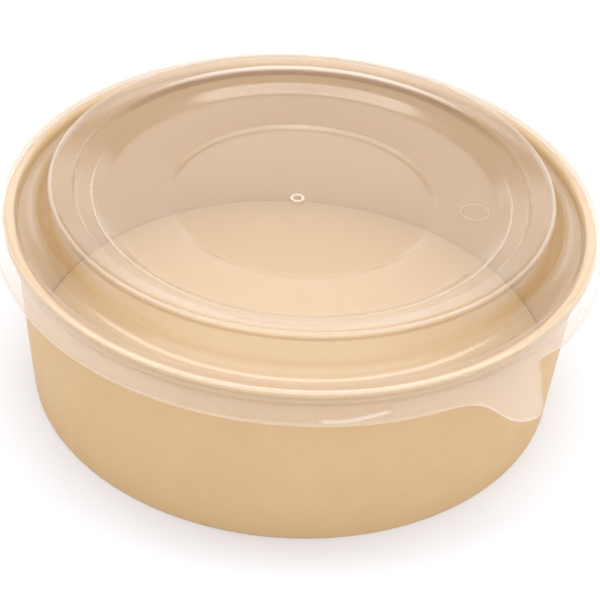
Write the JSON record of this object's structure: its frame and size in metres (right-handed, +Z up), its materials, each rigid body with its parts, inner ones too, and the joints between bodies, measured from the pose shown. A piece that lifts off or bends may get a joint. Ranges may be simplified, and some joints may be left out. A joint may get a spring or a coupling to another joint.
{
  "type": "paper salad bowl with lid",
  "caption": "Empty round paper takeaway bowl with a rolled rim and a recessed flat base, closed by a clear press-on lid with a stepped dome top and a pull tab.",
  "frame": {"origin": "middle of the bowl's foot, on the table", "axes": "+Z up along the bowl's axis; the front faces -Y; the pull tab points 41 degrees from the front towards +X"},
  "size_m": [0.1894, 0.1894, 0.0722],
  "materials": {
    "paper": "uncoloured tan paperboard with a thin satin lining",
    "clear_lid": "thin clear polypropylene moulding, glossy and very slightly hazy"
  },
  "bodies": {
    "root": {"bowl_wall": "paper", "bowl_base": "paper", "lid": "clear_lid"}
  },
  "joints": []
}
